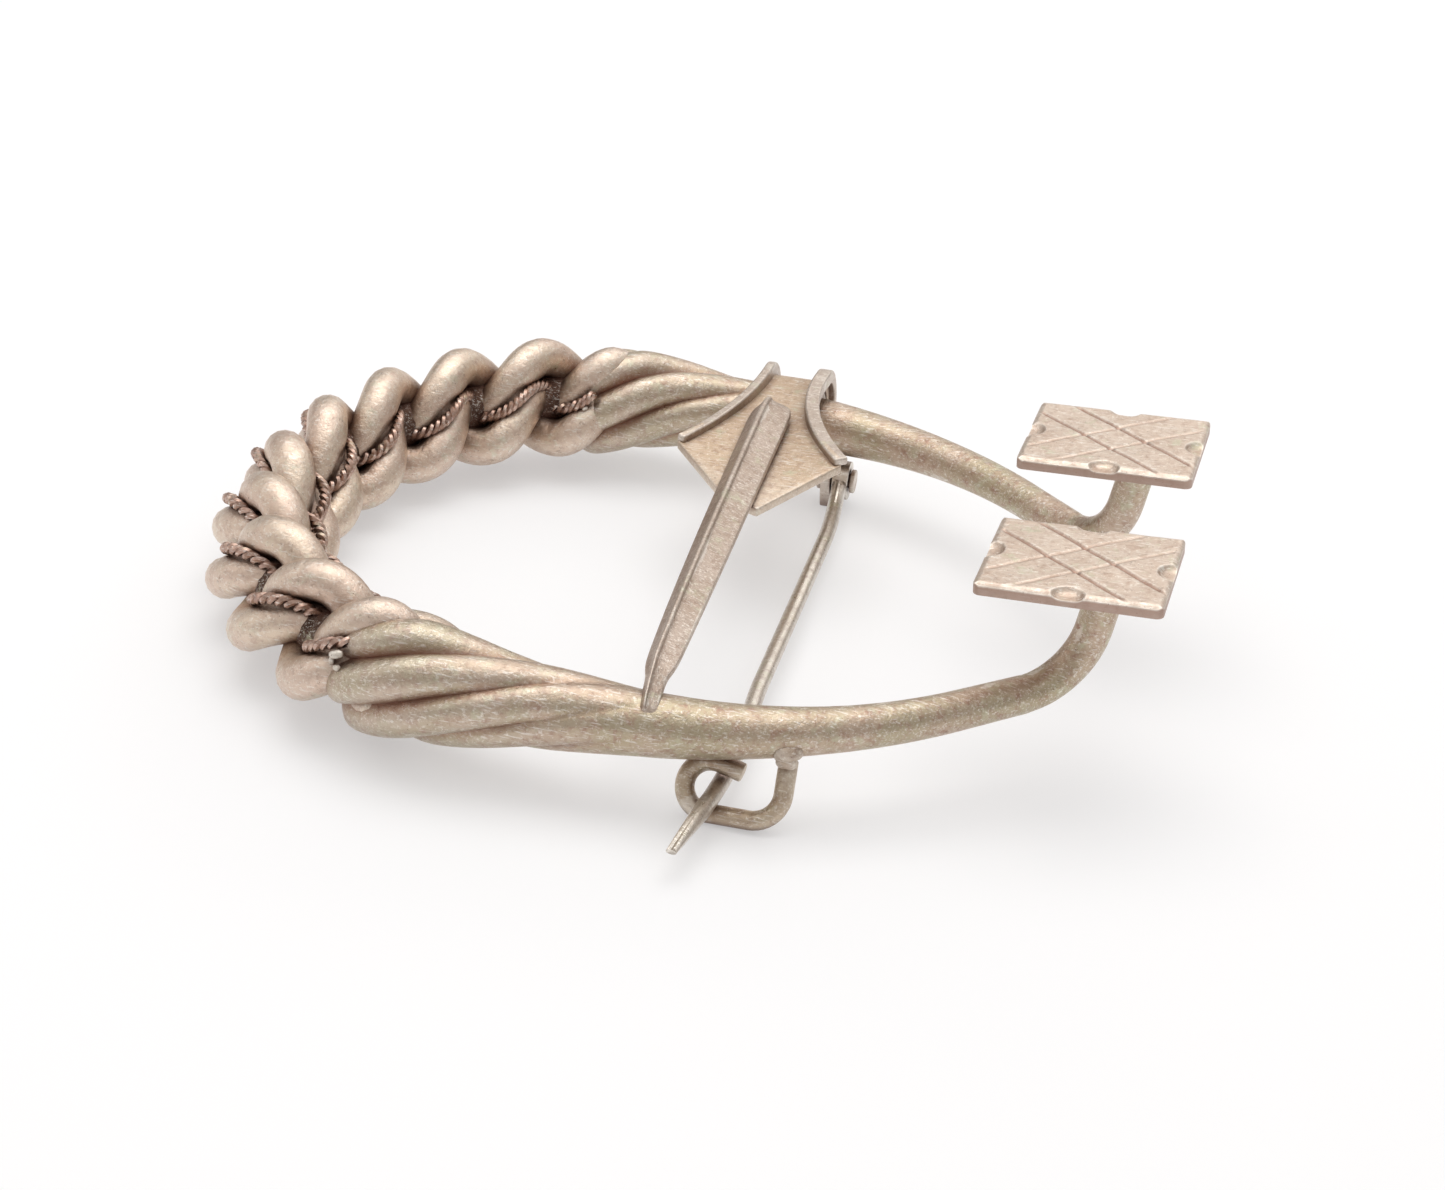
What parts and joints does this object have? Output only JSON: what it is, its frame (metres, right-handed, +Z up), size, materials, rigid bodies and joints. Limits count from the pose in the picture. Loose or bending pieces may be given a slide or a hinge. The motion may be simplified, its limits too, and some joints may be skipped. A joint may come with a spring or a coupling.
{
  "type": "silver brooch",
  "caption": "Open-hoop brooch with a twisted bow, tapering arms that turn up to flat engraved plates, a fan-shaped pin head with a fixed bar, and a hinged pin held by a wire hook.",
  "frame": {"origin": "the middle of the underside, on the surface that the brooch lies on", "axes": "+X from the twisted bow to the terminal plates, +Y from the catch hook to the hinge, +Z up from the surface that it lies on"},
  "size_m": [0.059, 0.0508, 0.0142],
  "materials": {
    "twisted_silver": "twisted silver rods, worn satin with dark tarnish in the grooves",
    "hoop_silver": "worn satin silver, fine scratches",
    "plate_silver": "worn satin silver sheet, lightly pitted",
    "pin_silver": "drawn silver wire, dull and lightly tarnished"
  },
  "bodies": {
    "brooch": {"twisted_bow": "twisted_silver", "front_arm": "hoop_silver", "rear_arm": "hoop_silver", "front_plate": "plate_silver", "rear_plate": "plate_silver", "pin_head_plate": "plate_silver", "ornament_pin": "plate_silver", "hinge_bracket": "hoop_silver", "hinge_rivet": "pin_silver", "catch_hook": "pin_silver"},
    "pin": {"pin_wire": "pin_silver"}
  },
  "joints": [
    {"name": "pin_hinge", "type": "hinge", "parent": "brooch", "child": "pin", "pos_m": [0.00592, 0.02138, 0.00183], "axis": [0.9995, 0, 0.0319], "range_deg": [0, 70], "deforming": ["pin_wire"]}
  ]
}
